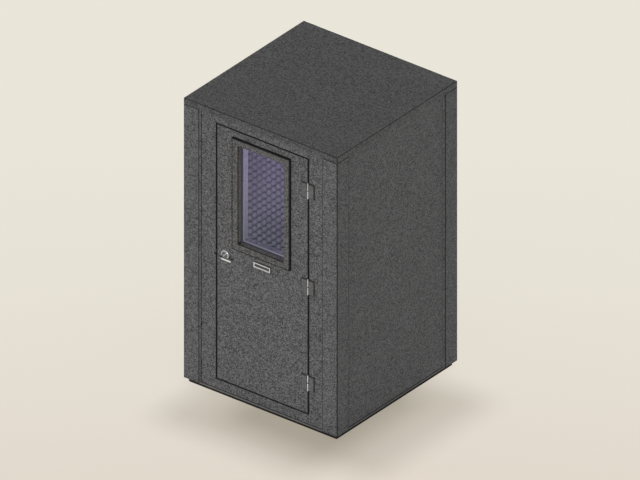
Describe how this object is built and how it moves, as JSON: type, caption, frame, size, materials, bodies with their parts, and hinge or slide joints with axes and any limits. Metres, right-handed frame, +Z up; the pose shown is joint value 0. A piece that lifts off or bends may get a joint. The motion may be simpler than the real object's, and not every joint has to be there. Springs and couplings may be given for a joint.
{
  "type": "vocal booth",
  "caption": "Free-standing carpeted vocal booth with a glazed, hinged door, lever latch, pyramid foam lining and rear ventilation sleeves.",
  "frame": {"origin": "centre of the plan over the corner trims, on the floor, which is the foot face of the middle isolation pad", "axes": "+Z up, -Y out of the door, +X towards the hinges of the door"},
  "size_m": [1.27, 1.328, 2.143],
  "materials": {
    "carpet": "charcoal speckled carpet over board",
    "floor_carpet": "charcoal carpet",
    "foam": "purple grey open-cell foam, pyramids",
    "black_paint": "black painted timber",
    "base": "black painted plywood",
    "rubber": "black rubber",
    "liner": "charcoal carpet on board",
    "timber": "planed softwood",
    "core": "mineral wool",
    "leaf": "charcoal textured paint",
    "steel": "satin chromed steel",
    "dark_steel": "dark bronze steel",
    "aluminium": "mill finish",
    "plastic": "black moulded",
    "glass": "clear with a faint violet cast",
    "plate": "brushed border, dark field"
  },
  "bodies": {
    "booth": {"isolation_pads": "rubber", "floor_base": "base", "floor_carpet": "floor_carpet", "floor_gasket": "rubber", "roof_gasket": "rubber", "wall_left_shell": "carpet", "wall_right_shell": "carpet", "wall_back_shell": "carpet", "wall_back_frame": "timber", "wall_left_liner": "liner", "wall_right_liner": "liner", "wall_back_liner": "liner", "wall_cores": "core", "front_wall": "carpet", "door_jamb": "black_paint", "door_stop": "black_paint", "door_seal": "rubber", "threshold": "aluminium", "strike_plate": "dark_steel", "ceiling_panel": "carpet", "roof_cap": "carpet", "corner_trim_front_left": "carpet", "corner_trim_front_right": "carpet", "corner_trim_back_left": "carpet", "corner_trim_back_right": "carpet", "foam_left": "foam", "foam_right": "foam", "foam_back": "foam", "foam_ceiling": "foam", "hinge_frame_leaf_lower": "leaf", "hinge_frame_leaf_middle": "leaf", "hinge_frame_leaf_upper": "leaf", "hinge_pins": "steel", "intake_sleeve": "aluminium", "exhaust_sleeve": "aluminium", "intake_grille": "plastic", "exhaust_grille": "plastic", "fan_frame": "plastic", "cable_bushing": "plastic"},
    "door": {"door_slab": "carpet", "window_frame_outer": "carpet", "window_frame_inner": "carpet", "glass_outer": "glass", "glass_inner": "glass", "glazing_spacer": "aluminium", "glazing_gaskets": "rubber", "name_plate": "plate", "hinge_door_leaf_lower": "leaf", "hinge_door_leaf_middle": "leaf", "hinge_door_leaf_upper": "leaf", "latch_case": "dark_steel", "rose_outer": "steel", "rose_inner": "steel", "foam_door": "foam", "door_sweep": "rubber"},
    "handle": {"lever_outer": "steel", "lever_inner": "steel", "spindle": "steel"},
    "latch": {"latch_bolt": "steel"},
    "fan": {"fan_rotor": "plastic"}
  },
  "joints": [
    {"name": "door_swing", "type": "hinge", "parent": "booth", "child": "door", "pos_m": [0.3795, -0.6215, 1.0735], "axis": [0, 0, 1], "range_deg": [0, 160]},
    {"name": "handle_turn", "type": "hinge", "parent": "door", "child": "handle", "pos_m": [-0.305, -0.615, 1.071], "axis": [0, 1, 0], "range_deg": [0, 45], "stiffness_Nm_per_rad": 0.6, "springref_deg": -45.84},
    {"name": "latch_slide", "type": "slide", "parent": "door", "child": "latch", "axis": [1, 0, 0], "range_m": [0, 0.012]},
    {"name": "fan_spin", "type": "hinge", "parent": "booth", "child": "fan", "pos_m": [0, 0.56, 1.8892], "axis": [0, 1, 0], "continuous": true}
  ],
  "couplings": [
    {"joint": "latch_slide", "follows": "handle_turn", "m_per_rad": 0.015279}
  ]
}
